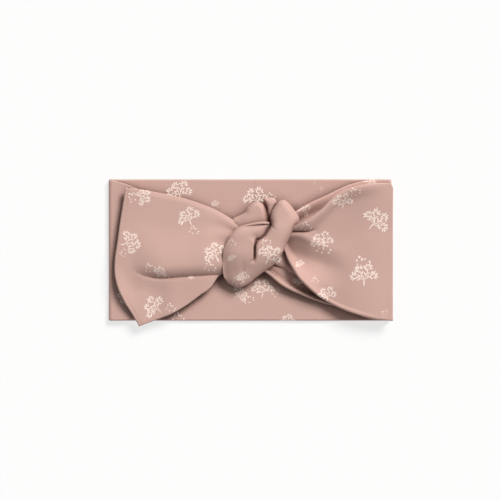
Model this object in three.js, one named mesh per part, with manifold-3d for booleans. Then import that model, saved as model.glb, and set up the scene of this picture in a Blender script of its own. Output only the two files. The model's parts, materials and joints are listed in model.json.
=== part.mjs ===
// A knotted jersey headband, lying flat on its back with the knot on top.
//
// Millimetres. z = 0 is the resting plane, the origin is the middle of the band on that plane,
// +Z points up through the knot and +Y towards the band's top edge.
//
// The band is one long double-layer tube: its middle is the back, it folds over at both sides, its
// two strands run back over the front, narrow into the knot, and leave it as two wide tails. It is
// cut into lengths where it bends, and once in the middle of the back, where the loop is left open.
// "Reach" below is the distance from the centre line x = 0, on either side.

import * as THREE from 'three';
import { mergeVertices } from 'three/addons/utils/BufferGeometryUtils.js';
import Module from 'manifold-3d';

const wasm = await Module();
wasm.setup();

// cloth
const PLY = 0.8;
const CORE = 0.6;
const PANEL = 2 * PLY + CORE;
const FOLD_GAP = 0.4;
const SEAM_ALLOWANCE = 5;
const SEAM_THICK = 0.2;
const SEAM_INSET = 0.8;

// flattened band
const HALF_WIDTH = 90;
const HALF_HEIGHT = 45;
const BEND_REACH = 30;
const CENTRE_CUT_X = 3;
const CUT = 0.2;

// the axis each side folds about, and the straight panels that stop short of it
const FOLD_RADIUS = PANEL + FOLD_GAP / 2;
const FOLD_REACH = HALF_WIDTH - FOLD_RADIUS;
const FOLD_Z = FOLD_RADIUS;
const PANEL_REACH = FOLD_REACH - FOLD_RADIUS - CUT / 2;

// front strands
const FRONT_Z = PANEL + FOLD_GAP;
const STRAND_RISE = 1.6;
const STRAND_RIPPLE = 0.8;
const STRAND_FOLDS = 3;

// tails
const TAIL_CLEARANCE = 0.4;
const TAIL_RELIEF = 1.8;
const LEFT_LIFT_REACH = 24;
const LEFT_CURL_REACH = 55;
const RIGHT_LIFT_REACH = 34;
const RIGHT_CURL_REACH = 62;

// knot
const KNOT_GAP = 0.3;
const END_ROUNDNESS = 0.5;

// care label on the inner face of the back
const LABEL = { x: -13, width: 22, height: 15, thick: 0.25 };

const JERSEY = { color: '#cfa89c', roughness: 0.88 };
const SEAM = { color: '#c49c90', roughness: 0.92 };
const SATIN = { color: '#f1ece6', roughness: 0.6 };

const LEFT = -1;
const RIGHT = 1;

const group = new THREE.Group();

function add(name, geometry, look) {
  const material = new THREE.MeshStandardMaterial({ ...look, metalness: 0 });
  const mesh = new THREE.Mesh(geometry, material);
  mesh.name = name;
  group.add(mesh);
}

const clamp01 = (t) => Math.min(Math.max(t, 0), 1);
const mix = (a, b, t) => a + (b - a) * t;

function smooth(t) {
  const s = clamp01(t);
  return s * s * (3 - 2 * s);
}

// a smooth curve through [position, value] points in order of position
function through(points) {
  const slope = (i) => {
    const before = points[Math.max(i - 1, 0)];
    const after = points[Math.min(i + 1, points.length - 1)];
    return (after[1] - before[1]) / (after[0] - before[0]);
  };
  return (x) => {
    let i = 0;
    while (i < points.length - 2 && x > points[i + 1][0]) {
      i += 1;
    }
    const [x0, y0] = points[i];
    const [x1, y1] = points[i + 1];
    const span = x1 - x0;
    const t = clamp01((x - x0) / span);
    const bend0 = span * slope(i);
    const bend1 = span * slope(i + 1);
    const rise = y1 - y0;
    const curved = t * (bend0 + t * (3 * rise - 2 * bend0 - bend1 + t * (bend0 + bend1 - 2 * rise)));
    return y0 + curved;
  };
}

// closed solids are built as a list of points and faces, and turned to face outwards at the end
function solid(points, faces) {
  const geometry = new THREE.BufferGeometry();
  geometry.setAttribute('position', new THREE.Float32BufferAttribute(points.flat(), 3));
  const [a, b, c] = [new THREE.Vector3(), new THREE.Vector3(), new THREE.Vector3()];
  let volume = 0;
  for (const [i, j, k] of faces) {
    a.fromArray(points[i]);
    b.fromArray(points[j]);
    c.fromArray(points[k]);
    volume += a.dot(b.cross(c));
  }
  const outward = volume > 0 ? faces : faces.map(([i, j, k]) => [i, k, j]);
  geometry.setIndex(outward.flat());
  geometry.computeVertexNormals();
  return geometry;
}

function box(x0, x1, y0, y1, z0, z1) {
  const geometry = new THREE.BoxGeometry(x1 - x0, y1 - y0, z1 - z0);
  geometry.translate((x0 + x1) / 2, (y0 + y1) / 2, (z0 + z1) / 2);
  return geometry;
}

// one layer of cloth: rows run across the strip, each the same number of points along it
function sheet(at, rows, columns, thick) {
  const points = [];
  const faces = [];
  const row = columns + 1;
  for (const level of [0, thick]) {
    for (let i = 0; i <= rows; i += 1) {
      for (let j = 0; j <= columns; j += 1) {
        const [x, y, z] = at(i / rows, j / columns);
        points.push([x, y, z + level]);
      }
    }
  }
  const upper = (rows + 1) * row;
  const quad = (a, b, c, d) => faces.push([a, b, c], [a, c, d]);
  for (let i = 0; i < rows; i += 1) {
    for (let j = 0; j < columns; j += 1) {
      const k = i * row + j;
      quad(k, k + row, k + row + 1, k + 1);
      quad(upper + k, upper + k + 1, upper + k + row + 1, upper + k + row);
    }
  }
  for (let i = 0; i < rows; i += 1) {
    const k = i * row;
    quad(k, upper + k, upper + k + row, k + row);
    const far = k + columns;
    quad(far, far + row, upper + far + row, upper + far);
  }
  for (let j = 0; j < columns; j += 1) {
    quad(j, j + 1, upper + j + 1, upper + j);
    const far = rows * row + j;
    quad(far, upper + far, upper + far + 1, far + 1);
  }
  return solid(points, faces);
}

// a strip of cloth on one side: it runs from one reach to another, between a low and a high edge
function strip(side, { from, to, low, high, under }, thick, rows = 6, columns = 10) {
  const at = (u, v) => {
    const reach = mix(from, typeof to === 'function' ? to(v) : to, u);
    const y = mix(low(reach), high(reach), v);
    return [side * reach, y, under(reach, y)];
  };
  return sheet(at, rows, columns, thick);
}

// ---- the flat back, and the fold at each side ----

function backPanel(name, x0, x1) {
  const edge = HALF_HEIGHT;
  const seamEdge = edge - SEAM_INSET;
  const seamZ = PLY + (CORE - SEAM_THICK) / 2;
  add(`${name}_outer_ply`, box(x0, x1, -edge, edge, 0, PLY), JERSEY);
  add(`${name}_inner_ply`, box(x0, x1, -edge, edge, PLY + CORE, PANEL), JERSEY);
  for (const [place, y0, y1] of [
    ['top', seamEdge - SEAM_ALLOWANCE, seamEdge],
    ['bottom', -seamEdge, -seamEdge + SEAM_ALLOWANCE],
  ]) {
    add(`${name}_${place}_seam`, box(x0, x1, y0, y1, seamZ, seamZ + SEAM_THICK), SEAM);
  }
}

// half a turn of one layer about the fold axis, with a straight leg back to the panel below
function foldedPly(side, innerRadius) {
  const outerRadius = innerRadius + PLY;
  const leg = -(FOLD_REACH - PANEL_REACH - 2 * CUT);
  const shape = new THREE.Shape();
  shape.moveTo(leg, -outerRadius);
  shape.lineTo(0, -outerRadius);
  shape.absarc(0, 0, outerRadius, -Math.PI / 2, Math.PI / 2, false);
  shape.lineTo(0, innerRadius);
  shape.absarc(0, 0, innerRadius, Math.PI / 2, -Math.PI / 2, true);
  shape.lineTo(leg, -innerRadius);
  shape.closePath();
  const geometry = new THREE.ExtrudeGeometry(shape, {
    depth: 2 * HALF_HEIGHT,
    bevelEnabled: false,
    curveSegments: 10,
  });
  geometry.rotateX(Math.PI / 2);
  geometry.translate(0, HALF_HEIGHT, 0);
  if (side === LEFT) geometry.rotateZ(Math.PI);
  geometry.translate(side * FOLD_REACH, 0, FOLD_Z);
  return geometry;
}

function sideFold(name, side) {
  add(`${name}_fold_outer_ply`, foldedPly(side, FOLD_RADIUS - PLY), JERSEY);
  add(`${name}_fold_inner_ply`, foldedPly(side, FOLD_GAP / 2), JERSEY);
}

function careLabel() {
  const { x, width, height, thick } = LABEL;
  const label = box(x - width / 2, x + width / 2, -height / 2, height / 2, PANEL, PANEL + thick);
  add('care_label', label, SATIN);
}

// ---- the two strands that cross the front and narrow into the knot ----

const strandEdges = {
  left: {
    high: through([[25, 23], [30, 25.5], [50, 32], [69, 38], [80, 42.5], [90, 44.6]]),
    low: through([[25, -24], [30, -27], [50, -37.5], [65, -43], [76, -44.6], [90, -45]]),
  },
  right: {
    high: through([[25, 22], [30, 25], [45, 33.8], [60, 39.8], [70, 43], [90, 44.8]]),
    low: through([[25, -24.8], [30, -27.6], [47, -34], [60, -37.5], [76, -43.7], [90, -45]]),
  },
};

// the cloth stacks up as it is gathered towards the knot
const gathered = (reach) => smooth((75 - reach) / 60);
const strandTop = (reach) => FRONT_Z + PANEL + (STRAND_RISE + STRAND_RIPPLE) * gathered(reach);

function frontStrand(name, side) {
  const { low, high } = strandEdges[name];
  const span = { from: BEND_REACH + CUT, to: PANEL_REACH, low, high };
  const folds = (reach, y) => {
    const across = (y - low(reach)) / (high(reach) - low(reach));
    const wave = 0.5 - 0.5 * Math.cos(2 * Math.PI * STRAND_FOLDS * across);
    return gathered(reach) * (STRAND_RISE + STRAND_RIPPLE * wave);
  };
  const innerPly = { ...span, under: () => FRONT_Z };
  const outerPly = { ...span, under: (reach, y) => FRONT_Z + PLY + CORE + folds(reach, y) };
  add(`front_${name}_inner_ply`, strip(side, innerPly, PLY), JERSEY);
  add(`front_${name}_outer_ply`, strip(side, outerPly, PLY, 8, 18), JERSEY);

  const under = () => FRONT_Z + PLY + (CORE - SEAM_THICK) / 2;
  const topSeam = {
    ...span,
    low: (reach) => high(reach) - SEAM_INSET - SEAM_ALLOWANCE,
    high: (reach) => high(reach) - SEAM_INSET,
    under,
  };
  const bottomSeam = {
    ...span,
    low: (reach) => low(reach) + SEAM_INSET,
    high: (reach) => low(reach) + SEAM_INSET + SEAM_ALLOWANCE,
    under,
  };
  add(`front_${name}_top_seam`, strip(side, topSeam, SEAM_THICK, 6, 1), SEAM);
  add(`front_${name}_bottom_seam`, strip(side, bottomSeam, SEAM_THICK, 6, 1), SEAM);
}

// ---- the two tails that lie over the strands ----

const leftTail = {
  side: LEFT,
  name: 'left_tail',
  lift: LEFT_LIFT_REACH,
  curl: LEFT_CURL_REACH,
  high: through([[18, 21.4], [29, 27.1], [51, 34.8], [64, 37.6], [78.5, 39.2], [90, 40]]),
  low: through([[20, -20.7], [25, -25.5], [36, -32.6], [52, -40.4], [70.5, -48.5], [90, -55]]),
  // the free end bulges outwards between its two corners
  end: through([[0, 71], [0.12, 78], [0.3, 84.5], [0.48, 86], [0.75, 83], [1, 78.5]]),
  // the upper half lies over a lengthwise pleat
  relief: (reach, y) => smooth((85 - reach) / 50) * smooth((y + 22) / 14),
};

const rightTail = {
  side: RIGHT,
  name: 'right_tail',
  lift: RIGHT_LIFT_REACH,
  curl: RIGHT_CURL_REACH,
  high: through([[32, 14.4], [38, 17.5], [46, 22], [60.6, 34.1], [68, 38.3], [76, 40.5], [90, 41.8]]),
  low: through([[29, -10.5], [34, -16.9], [41.5, -23.9], [57, -35.1], [73.4, -42.7], [90, -44.8]]),
  end: () => HALF_WIDTH,
  // the top edge rolls over into a ridge
  relief: (reach, y) => smooth((90 - reach) / 50) * smooth((y + 16) / 24),
};

const tailUnder = (tail) => (reach, y) =>
  strandTop(reach) + TAIL_CLEARANCE + TAIL_RELIEF * tail.relief(reach, y);

function tailPlies(name, tail, from, to) {
  const { side, low, high } = tail;
  const under = tailUnder(tail);
  const upper = (reach, y) => under(reach, y) + PLY + CORE;
  add(`${name}_back_ply`, strip(side, { from, to, low, high, under }, PLY, 8, 18), JERSEY);
  add(`${name}_front_ply`, strip(side, { from, to, low, high, under: upper }, PLY, 8, 18), JERSEY);
}

function tailRoot(tail) {
  const { side, name, low, high } = tail;
  const from = tail.lift + CUT;
  const to = tail.curl - CUT;
  tailPlies(name, tail, from, to);
  const under = (reach, y) => tailUnder(tail)(reach, y) + PLY + (CORE - SEAM_THICK) / 2;
  const topSeam = {
    from,
    to,
    low: (reach) => high(reach) - SEAM_INSET - SEAM_ALLOWANCE,
    high: (reach) => high(reach) - SEAM_INSET,
    under,
  };
  const bottomSeam = {
    from,
    to,
    low: (reach) => low(reach) + SEAM_INSET,
    high: (reach) => low(reach) + SEAM_INSET + SEAM_ALLOWANCE,
    under,
  };
  add(`${name}_top_seam`, strip(side, topSeam, SEAM_THICK, 8, 2), SEAM);
  add(`${name}_bottom_seam`, strip(side, bottomSeam, SEAM_THICK, 8, 2), SEAM);
}

// the free end: its seam allowance runs out along the top edge, round the end and back
function tailTip(tail) {
  const { side, name, low, high, end } = tail;
  const from = tail.curl + CUT;
  tailPlies(`${name}_tip`, tail, from, end);

  const under = tailUnder(tail);
  const outline = (inset) => (t) => {
    const v = clamp01(2 * t - 0.5);
    const outward = t < 0.25 ? t / 0.25 : t > 0.75 ? (1 - t) / 0.25 : 1;
    const reach = mix(from, end(v) - inset, outward);
    const y = mix(low(reach) + inset, high(reach) - inset, v);
    return [reach, y];
  };
  const outer = outline(SEAM_INSET);
  const inner = outline(SEAM_INSET + SEAM_ALLOWANCE);
  const at = (u, v) => {
    const [outerReach, outerY] = outer(u);
    const [innerReach, innerY] = inner(u);
    const reach = mix(outerReach, innerReach, v);
    const y = mix(outerY, innerY, v);
    return [side * reach, y, under(reach, y) + PLY + (CORE - SEAM_THICK) / 2];
  };
  add(`${name}_tip_seam`, sheet(at, 40, 2, SEAM_THICK), SEAM);
}

// ---- the knot ----

// a swelling fold of cloth along a path: half widths lie level across the path, half thicknesses
// stand square to it, and both ends close to a point
function fold({ path, widths, thicks, camber = 0 }, grow) {
  const curve = new THREE.CatmullRomCurve3(path.map(([x, y, z]) => new THREE.Vector3(x, y, z)));
  const spaced = (values) => through(values.map((value, i) => [i / (values.length - 1), value]));
  const widthAt = spaced(widths);
  const thickAt = spaced(thicks);
  const rings = 14;
  const sides = 16;
  const up = new THREE.Vector3(0, 0, 1);
  const points = [];
  const faces = [];
  for (let i = 0; i <= rings; i += 1) {
    const t = 0.5 - 0.5 * Math.cos((Math.PI * i) / rings);
    const centre = curve.getPoint(t);
    const along = curve.getTangent(t);
    const across = new THREE.Vector3().crossVectors(up, along).normalize();
    const out = new THREE.Vector3().crossVectors(along, across);
    centre.addScaledVector(along, (2 * t - 1) * grow);
    if (i === 0 || i === rings) {
      points.push(centre.toArray());
      continue;
    }
    const swell = Math.sin((Math.PI * i) / rings) ** END_ROUNDNESS;
    const width = widthAt(t) * swell + grow;
    const thick = thickAt(t) * swell + grow;
    for (let j = 0; j < sides; j += 1) {
      const angle = (2 * Math.PI * j) / sides;
      const point = centre.clone();
      point.addScaledVector(across, width * Math.cos(angle));
      point.addScaledVector(out, thick * Math.sin(angle) - camber * Math.cos(angle) ** 2);
      points.push(point.toArray());
    }
  }
  const ring = (i, j) => 1 + (i - 1) * sides + (j % sides);
  const last = points.length - 1;
  for (let j = 0; j < sides; j += 1) {
    faces.push([0, ring(1, j + 1), ring(1, j)]);
    faces.push([last, ring(rings - 1, j), ring(rings - 1, j + 1)]);
    for (let i = 1; i < rings - 1; i += 1) {
      faces.push([ring(i, j), ring(i, j + 1), ring(i + 1, j + 1)]);
      faces.push([ring(i, j), ring(i + 1, j + 1), ring(i + 1, j)]);
    }
  }
  return solid(points, faces);
}

// a bundle of pleated cloth running level from one reach to another, with its own low and high
// edges and its own floor and roof heights; the roof ripples with the pleats
function bundle({ side, from, to, low, high, floor, roof, pleats, ripple }, grow) {
  const rows = 6;
  const columns = 14;
  const reaches = [from - Math.sign(to - from) * grow, to + Math.sign(to - from) * grow];
  const points = [];
  for (let i = 0; i <= rows; i += 1) {
    const t = i / rows;
    const reach = mix(reaches[0], reaches[1], t);
    const y0 = mix(low[0], low[1], t) - grow;
    const y1 = mix(high[0], high[1], t) + grow;
    const z0 = mix(floor[0], floor[1], t) - grow;
    const z1 = mix(roof[0], roof[1], t) + grow;
    for (const upper of [0, 1]) {
      for (let j = 0; j <= columns; j += 1) {
        const v = upper ? 1 - j / columns : j / columns;
        const round = Math.sin(Math.PI * clamp01(0.04 + 0.92 * v)) ** 0.35;
        const wave = 0.5 - 0.5 * Math.cos(2 * Math.PI * pleats * v);
        const middle = (z0 + z1) / 2;
        const half = (z1 - z0) / 2;
        const top = middle + half * round - ripple * wave * round;
        const bottom = middle - half * round;
        points.push([side * reach, mix(y0, y1, v), upper ? top : bottom]);
      }
    }
  }
  const around = 2 * (columns + 1);
  const faces = [];
  for (let i = 0; i < rows; i += 1) {
    for (let j = 0; j < around; j += 1) {
      const a = i * around + j;
      const b = i * around + ((j + 1) % around);
      faces.push([a, b, b + around], [a, b + around, a + around]);
    }
  }
  for (const [start, flip] of [[0, true], [rows * around, false]]) {
    for (let j = 0; j < columns; j += 1) {
      const [a, b] = [start + j, start + j + 1];
      const [c, d] = [start + around - 2 - j, start + around - 1 - j];
      const cap = [[a, b, c], [a, c, d]];
      faces.push(...(flip ? cap.map(([p, q, r]) => [p, r, q]) : cap));
    }
  }
  return solid(points, faces);
}

function ball({ centre, radii }, grow) {
  const geometry = new THREE.SphereGeometry(1, 20, 14);
  geometry.scale(...radii.map((radius) => radius + grow));
  geometry.translate(...centre);
  return geometry;
}

function toManifold(geometry) {
  const bare = geometry.clone();
  bare.deleteAttribute('normal');
  bare.deleteAttribute('uv');
  const merged = mergeVertices(bare, 1e-4);
  return new wasm.Manifold(new wasm.Mesh({
    numProp: 3,
    vertProperties: new Float32Array(merged.attributes.position.array),
    triVerts: new Uint32Array(merged.index.array),
  }));
}

function fromManifold(body) {
  const mesh = body.getMesh();
  const geometry = new THREE.BufferGeometry();
  geometry.setAttribute('position', new THREE.BufferAttribute(mesh.vertProperties, 3));
  geometry.setIndex(new THREE.BufferAttribute(mesh.triVerts, 1));
  geometry.computeVertexNormals();
  return geometry;
}

// a piece of the knot, hollowed wherever the pieces under it already are, with a little air between
function carve(piece, neighbours) {
  let body = toManifold(piece(0));
  for (const neighbour of neighbours) body = body.subtract(toManifold(neighbour(KNOT_GAP)));
  const [largest] = body.decompose().sort((a, b) => b.volume() - a.volume());
  return fromManifold(largest);
}

const knotPieces = {
  // strands and tails, gathered into pleats where the knot grips them
  knot_gather_left: (grow) => bundle({
    side: LEFT, from: BEND_REACH - CUT, to: 6.5,
    low: [-26.5, -9], high: [25, 10], floor: [FRONT_Z, 3.2], roof: [6.8, 8.2], pleats: 3, ripple: 0.6,
  }, grow),
  knot_gather_right: (grow) => bundle({
    side: RIGHT, from: BEND_REACH - CUT, to: 14.5,
    low: [-27, -9], high: [24.5, 12], floor: [FRONT_Z, 3.2], roof: [6.8, 8.2], pleats: 3, ripple: 0.6,
  }, grow),
  left_tail_neck: (grow) => bundle({
    side: LEFT, from: LEFT_LIFT_REACH - CUT, to: 8,
    low: [-24.5, -10], high: [24, 11], floor: [8.2, 8.9], roof: [11.3, 13], pleats: 2, ripple: 0.8,
  }, grow),
  right_tail_neck: (grow) => bundle({
    side: RIGHT, from: RIGHT_LIFT_REACH - CUT, to: 18,
    low: [-16.6, 1], high: [14.8, 13], floor: [8.2, 8.9], roof: [10.9, 14], pleats: 2, ripple: 0.8,
  }, grow),
  knot_core: (grow) => ball({ centre: [4, 2, 8.7], radii: [9.4, 11.5, 5.4] }, grow),
  // the tail that is passed over the front of the knot, from its top edge down to the left
  knot_wrap_left: (grow) => fold({
    path: [[5, 18.5, 8], [0, 12, 15.3], [-7, 0, 17.6], [-7, -13, 15], [-7, -23.5, 6.5]],
    widths: [9.5, 10.5, 10.5, 11, 9], thicks: [3, 3.2, 3.2, 3.2, 3], camber: 2,
  }, grow),
  // the tail that rolls over from the top right and is tucked in beside it
  knot_wrap_right: (grow) => fold({
    path: [[20, 31, 7], [22, 20, 14.8], [17, 8, 17.6], [10, -3, 15.6], [4, -14, 9]],
    widths: [7.5, 9, 9.5, 9.5, 8], thicks: [3, 3.2, 3.2, 3.2, 3], camber: 2,
  }, grow),
  // the rounded loops of cloth that stand up behind the two wraps
  knot_top_loop: (grow) => fold({
    path: [[-9, 18.5, 7], [2, 24.5, 10.5], [13, 20, 7]],
    widths: [6, 7.5, 6], thicks: [3, 3.8, 3], camber: 0,
  }, grow),
  knot_tuck: (grow) => ball({ centre: [12.8, 28, 8], radii: [4, 5.4, 3.2] }, grow),
};

function knot() {
  const placed = [];
  for (const [name, piece] of Object.entries(knotPieces)) {
    add(name, carve(piece, placed), JERSEY);
    placed.push(piece);
  }
}

backPanel('back_left', -PANEL_REACH + CUT, -BEND_REACH - CUT);
backPanel('back_centre_left', -BEND_REACH + CUT, CENTRE_CUT_X - CUT);
backPanel('back_centre_right', CENTRE_CUT_X + CUT, BEND_REACH - CUT);
backPanel('back_right', BEND_REACH + CUT, PANEL_REACH - CUT);
sideFold('left', LEFT);
sideFold('right', RIGHT);
careLabel();
frontStrand('left', LEFT);
frontStrand('right', RIGHT);
for (const tail of [leftTail, rightTail]) {
  tailRoot(tail);
  tailTip(tail);
}
knot();

export default group;
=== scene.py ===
"""Knotted jersey headband, lying flat on its back: cloth, sprig print, studio and camera.

Every length below is in millimetres in the part's own frame; build_mesh() turns it into metres.
The band is one double-layer tube. Each length of it is made as two half-thickness layers, an outer
and an inner one, that meet in the middle and along the turned edges.
"""

import json
import math

import bpy
import numpy as np
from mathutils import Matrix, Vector


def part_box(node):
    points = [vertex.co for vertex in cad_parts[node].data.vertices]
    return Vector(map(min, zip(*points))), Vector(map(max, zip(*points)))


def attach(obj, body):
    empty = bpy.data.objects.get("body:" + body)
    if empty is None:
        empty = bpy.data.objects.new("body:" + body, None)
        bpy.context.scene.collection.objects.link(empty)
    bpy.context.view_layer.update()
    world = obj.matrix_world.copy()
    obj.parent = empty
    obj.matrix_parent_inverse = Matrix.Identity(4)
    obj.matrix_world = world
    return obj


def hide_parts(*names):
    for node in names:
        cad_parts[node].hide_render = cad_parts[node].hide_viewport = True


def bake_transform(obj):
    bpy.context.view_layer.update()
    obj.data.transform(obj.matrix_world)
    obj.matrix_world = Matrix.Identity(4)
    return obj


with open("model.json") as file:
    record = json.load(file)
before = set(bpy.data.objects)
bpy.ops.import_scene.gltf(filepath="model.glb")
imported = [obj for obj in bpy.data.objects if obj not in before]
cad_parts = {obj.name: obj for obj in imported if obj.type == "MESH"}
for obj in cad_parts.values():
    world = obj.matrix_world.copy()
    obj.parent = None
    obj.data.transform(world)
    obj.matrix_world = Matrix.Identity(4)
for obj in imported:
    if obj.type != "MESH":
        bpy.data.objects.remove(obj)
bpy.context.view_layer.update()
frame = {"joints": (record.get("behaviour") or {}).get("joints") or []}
joints = {joint["name"]: joint for joint in frame["joints"]}

MM = 0.001
LEFT, RIGHT = -1, 1
SIDE_NAMES = {LEFT: "left", RIGHT: "right"}


def joint_mm(name):
    return [value / MM for value in joints[name]["pos_m"]]


def box_mm(node):
    low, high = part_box(node)
    return low / MM, high / MM


# the band, as packed
HALF_HEIGHT = box_mm("back_left_outer_ply")[1].y
THICK = box_mm("back_left_inner_ply")[1].z
HALF_THICK = THICK / 2
LEFT_CUT = box_mm("back_centre_left_outer_ply")[1].x
RIGHT_CUT = box_mm("back_centre_right_outer_ply")[0].x
CENTRE_CUT = (LEFT_CUT + RIGHT_CUT) / 2
BACK_BEND = joint_mm("back_right_bend")[0]
FOLD_REACH, _, FOLD_Z = joint_mm("right_side_fold")
FOLD_RADIUS = FOLD_Z - HALF_THICK

# where the pieces of the band meet, and how far a bend spreads along the cloth
MID_REACH = 58.0
FOLD_START = 84.0
BACK_SPREAD = 22.0

# turned edges
EDGE_RADIUS = 1.0
EDGE_STEPS = [0.0, 0.03, 0.12, 0.28, 0.52, 0.78, 1.0]
END_SEAM_INSET = 2.3
END_SEAM_DEPTH = 0.6
END_SEAM_WIDTH = 0.45
LAYER_GAP = 0.01
LABEL_GAP = 0.3

# where the cloth goes out of sight inside the knot, and roughly where the tails end
STRAND_INNER_REACH = 7.0
LEFT_TAIL_INNER_REACH = 4.0
RIGHT_TAIL_INNER_REACH = 19.0
TIP_REACH = 88.0

# the print: how far a hand-drawn line strays, and the loose scatter of sprigs
PRINT_WOBBLE = 3.2
SCATTER_SPACING, SCATTER_RADIUS = 27.0, 7.0

# how finely the cloth is divided: columns across it, and the step along it
BACK_COLUMNS, BACK_STEP = 44, 1.6
FOLD_COLUMNS, FOLD_FLAT_STEP, FOLD_NEAR_STEP, FOLD_TURNS = 34, 4.0, 0.4, 10
STRAND_COLUMNS, STRAND_STEP = 66, 0.9
TAIL_COLUMNS, TAIL_STEP, TIP_STEP = 96, 0.7, 0.9
LOBE_AROUND, LOBE_RINGS = 260, 56
HEM_AROUND, HEM_RINGS = 20, 60
LABEL_ROWS, LABEL_COLUMNS = 25, 11
SLOPE_STEP = 0.05
RIPPLE_WAVES = 7

# studio, in metres and degrees
FLOOR_HALF_SIZE, FLOOR_LEVEL = 3.0, -0.0002
FLOOR_GREY, FLOOR_GLOW = 0.3, 0.7
SKY_COLOUR, SKY_STRENGTH = (1.0, 0.995, 0.99, 1), 0.26
KEY_COLOUR, KEY_ENERGY, KEY_ANGLE = (1.0, 0.985, 0.97), 3.15, 24
KEY_FROM = Vector((0.45, 0.62, 0.74))
VIEW_WIDTH = 0.319
LENS, SENSOR = 160, 36


# ------------------------------ small maths


def smooth(t):
    t = np.clip(t, 0.0, 1.0)
    return t * t * (3 - 2 * t)


def mix(a, b, t):
    return a + (b - a) * t


def through(*points):
    """A smooth curve through (position, value) points, in order of position."""
    xs, ys = np.array(points, float).T
    slopes = np.gradient(ys, xs)

    def value(x):
        i = np.clip(np.searchsorted(xs, x) - 1, 0, len(xs) - 2)
        span = xs[i + 1] - xs[i]
        t = np.clip((x - xs[i]) / span, 0.0, 1.0)
        rise = ys[i + 1] - ys[i]
        a, b = span * slopes[i], span * slopes[i + 1]
        return ys[i] + t * (a + t * (3 * rise - 2 * a - b + t * (a + b - 2 * rise)))

    return value


def bell(t):
    return np.exp(-t * t)


def path_distance(x, y, path):
    """Distance from each point to a line through a few points, and how far along the line the nearest
    point is, from 0 to 1."""
    path = np.array(path, float)
    steps = np.hypot(*np.diff(path, axis=0).T)
    starts = np.concatenate([[0], np.cumsum(steps)[:-1]])
    best = np.full(np.shape(x), np.inf)
    where = np.zeros(np.shape(x))
    for (ax, ay), (bx, by), step, start in zip(path[:-1], path[1:], steps, starts):
        dx, dy = (bx - ax) / step, (by - ay) / step
        along = np.clip((x - ax) * dx + (y - ay) * dy, 0, step)
        distance = np.hypot(x - ax - along * dx, y - ay - along * dy)
        nearer = distance < best
        where = np.where(nearer, (start + along) / steps.sum(), where)
        best = np.where(nearer, distance, best)
    return best, where


def ripples(seed, wavelength):
    """Soft random undulation between about -1 and 1."""
    rng = np.random.RandomState(seed)
    angles = rng.uniform(0, 2 * math.pi, RIPPLE_WAVES)
    lengths = wavelength * rng.uniform(0.7, 1.6, RIPPLE_WAVES)
    phases = rng.uniform(0, 2 * math.pi, RIPPLE_WAVES)

    def value(x, y):
        total = np.zeros(np.shape(x))
        for angle, length, phase in zip(angles, lengths, phases):
            k = 2 * math.pi / length
            total += np.sin(k * (x * math.cos(angle) + y * math.sin(angle)) + phase)
        return total / math.sqrt(RIPPLE_WAVES)

    return value


# ------------------------------ materials


def srgb(red, green, blue):
    def linear(value):
        value /= 255
        return value / 12.92 if value <= 0.04045 else ((value + 0.055) / 1.055) ** 2.4

    return (linear(red), linear(green), linear(blue), 1.0)


JERSEY_COOL = srgb(207, 171, 161)
JERSEY_WARM = srgb(214, 176, 164)
JERSEY_FLECK = srgb(180, 142, 130)
# dark brown mixed into the cloth as painted shade in its folds
PAINTED_FOLD_SHADE = srgb(92, 50, 39)
PRINT_CREAM = srgb(255, 236, 224)
SHEEN_TINT = srgb(255, 226, 214)
LABEL_WHITE = srgb(240, 236, 230)
LABEL_SHADE = srgb(228, 222, 214)


def link(tree, source, target):
    tree.links.new(source, target)


def plug(tree, value, slot):
    """Feeds an input: another node's output is linked, and anything else is the value itself."""
    if isinstance(value, bpy.types.NodeSocket):
        link(tree, value, slot)
    else:
        slot.default_value = value


def fill(tree, node, **values):
    """Feeds a node's inputs by name, with _ for a space."""
    for name, value in values.items():
        plug(tree, value, node.inputs[name.replace("_", " ")])
    return node


def new_node(tree, kind, **values):
    return fill(tree, tree.nodes.new("ShaderNode" + kind), **values)


def new_material(name):
    """A material's node tree and the shader in it."""
    material = bpy.data.materials.new(name)
    material.use_nodes = True
    return material, material.node_tree, material.node_tree.nodes["Principled BSDF"]


def math_node(tree, operation, *values, kind="Math"):
    node = new_node(tree, kind)
    node.operation = operation
    for value, slot in zip(values, node.inputs):
        plug(tree, value, slot)
    return node.outputs[0]


def vector_math(tree, operation, *values):
    return math_node(tree, operation, *values, kind="VectorMath")


def placed(tree, vector, x, y, turn, width, height=None):
    """The vector as seen from a mark at (x, y), turned anticlockwise by turn degrees."""
    rotation = (0, 0, math.radians(turn))
    size = (width, height or width, 1)
    node = new_node(tree, "Mapping", Location=(x, y, 0), Rotation=rotation, Scale=size, Vector=vector)
    node.vector_type = "TEXTURE"
    return node.outputs[0]


def length_of(tree, vector):
    node = new_node(tree, "VectorMath", Vector=vector)
    node.operation = "LENGTH"
    return node.outputs["Value"]


def polar(radius, degrees):
    """A point at an angle clockwise from straight up."""
    angle = math.radians(degrees)
    return radius * math.sin(angle), radius * math.cos(angle)


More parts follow.
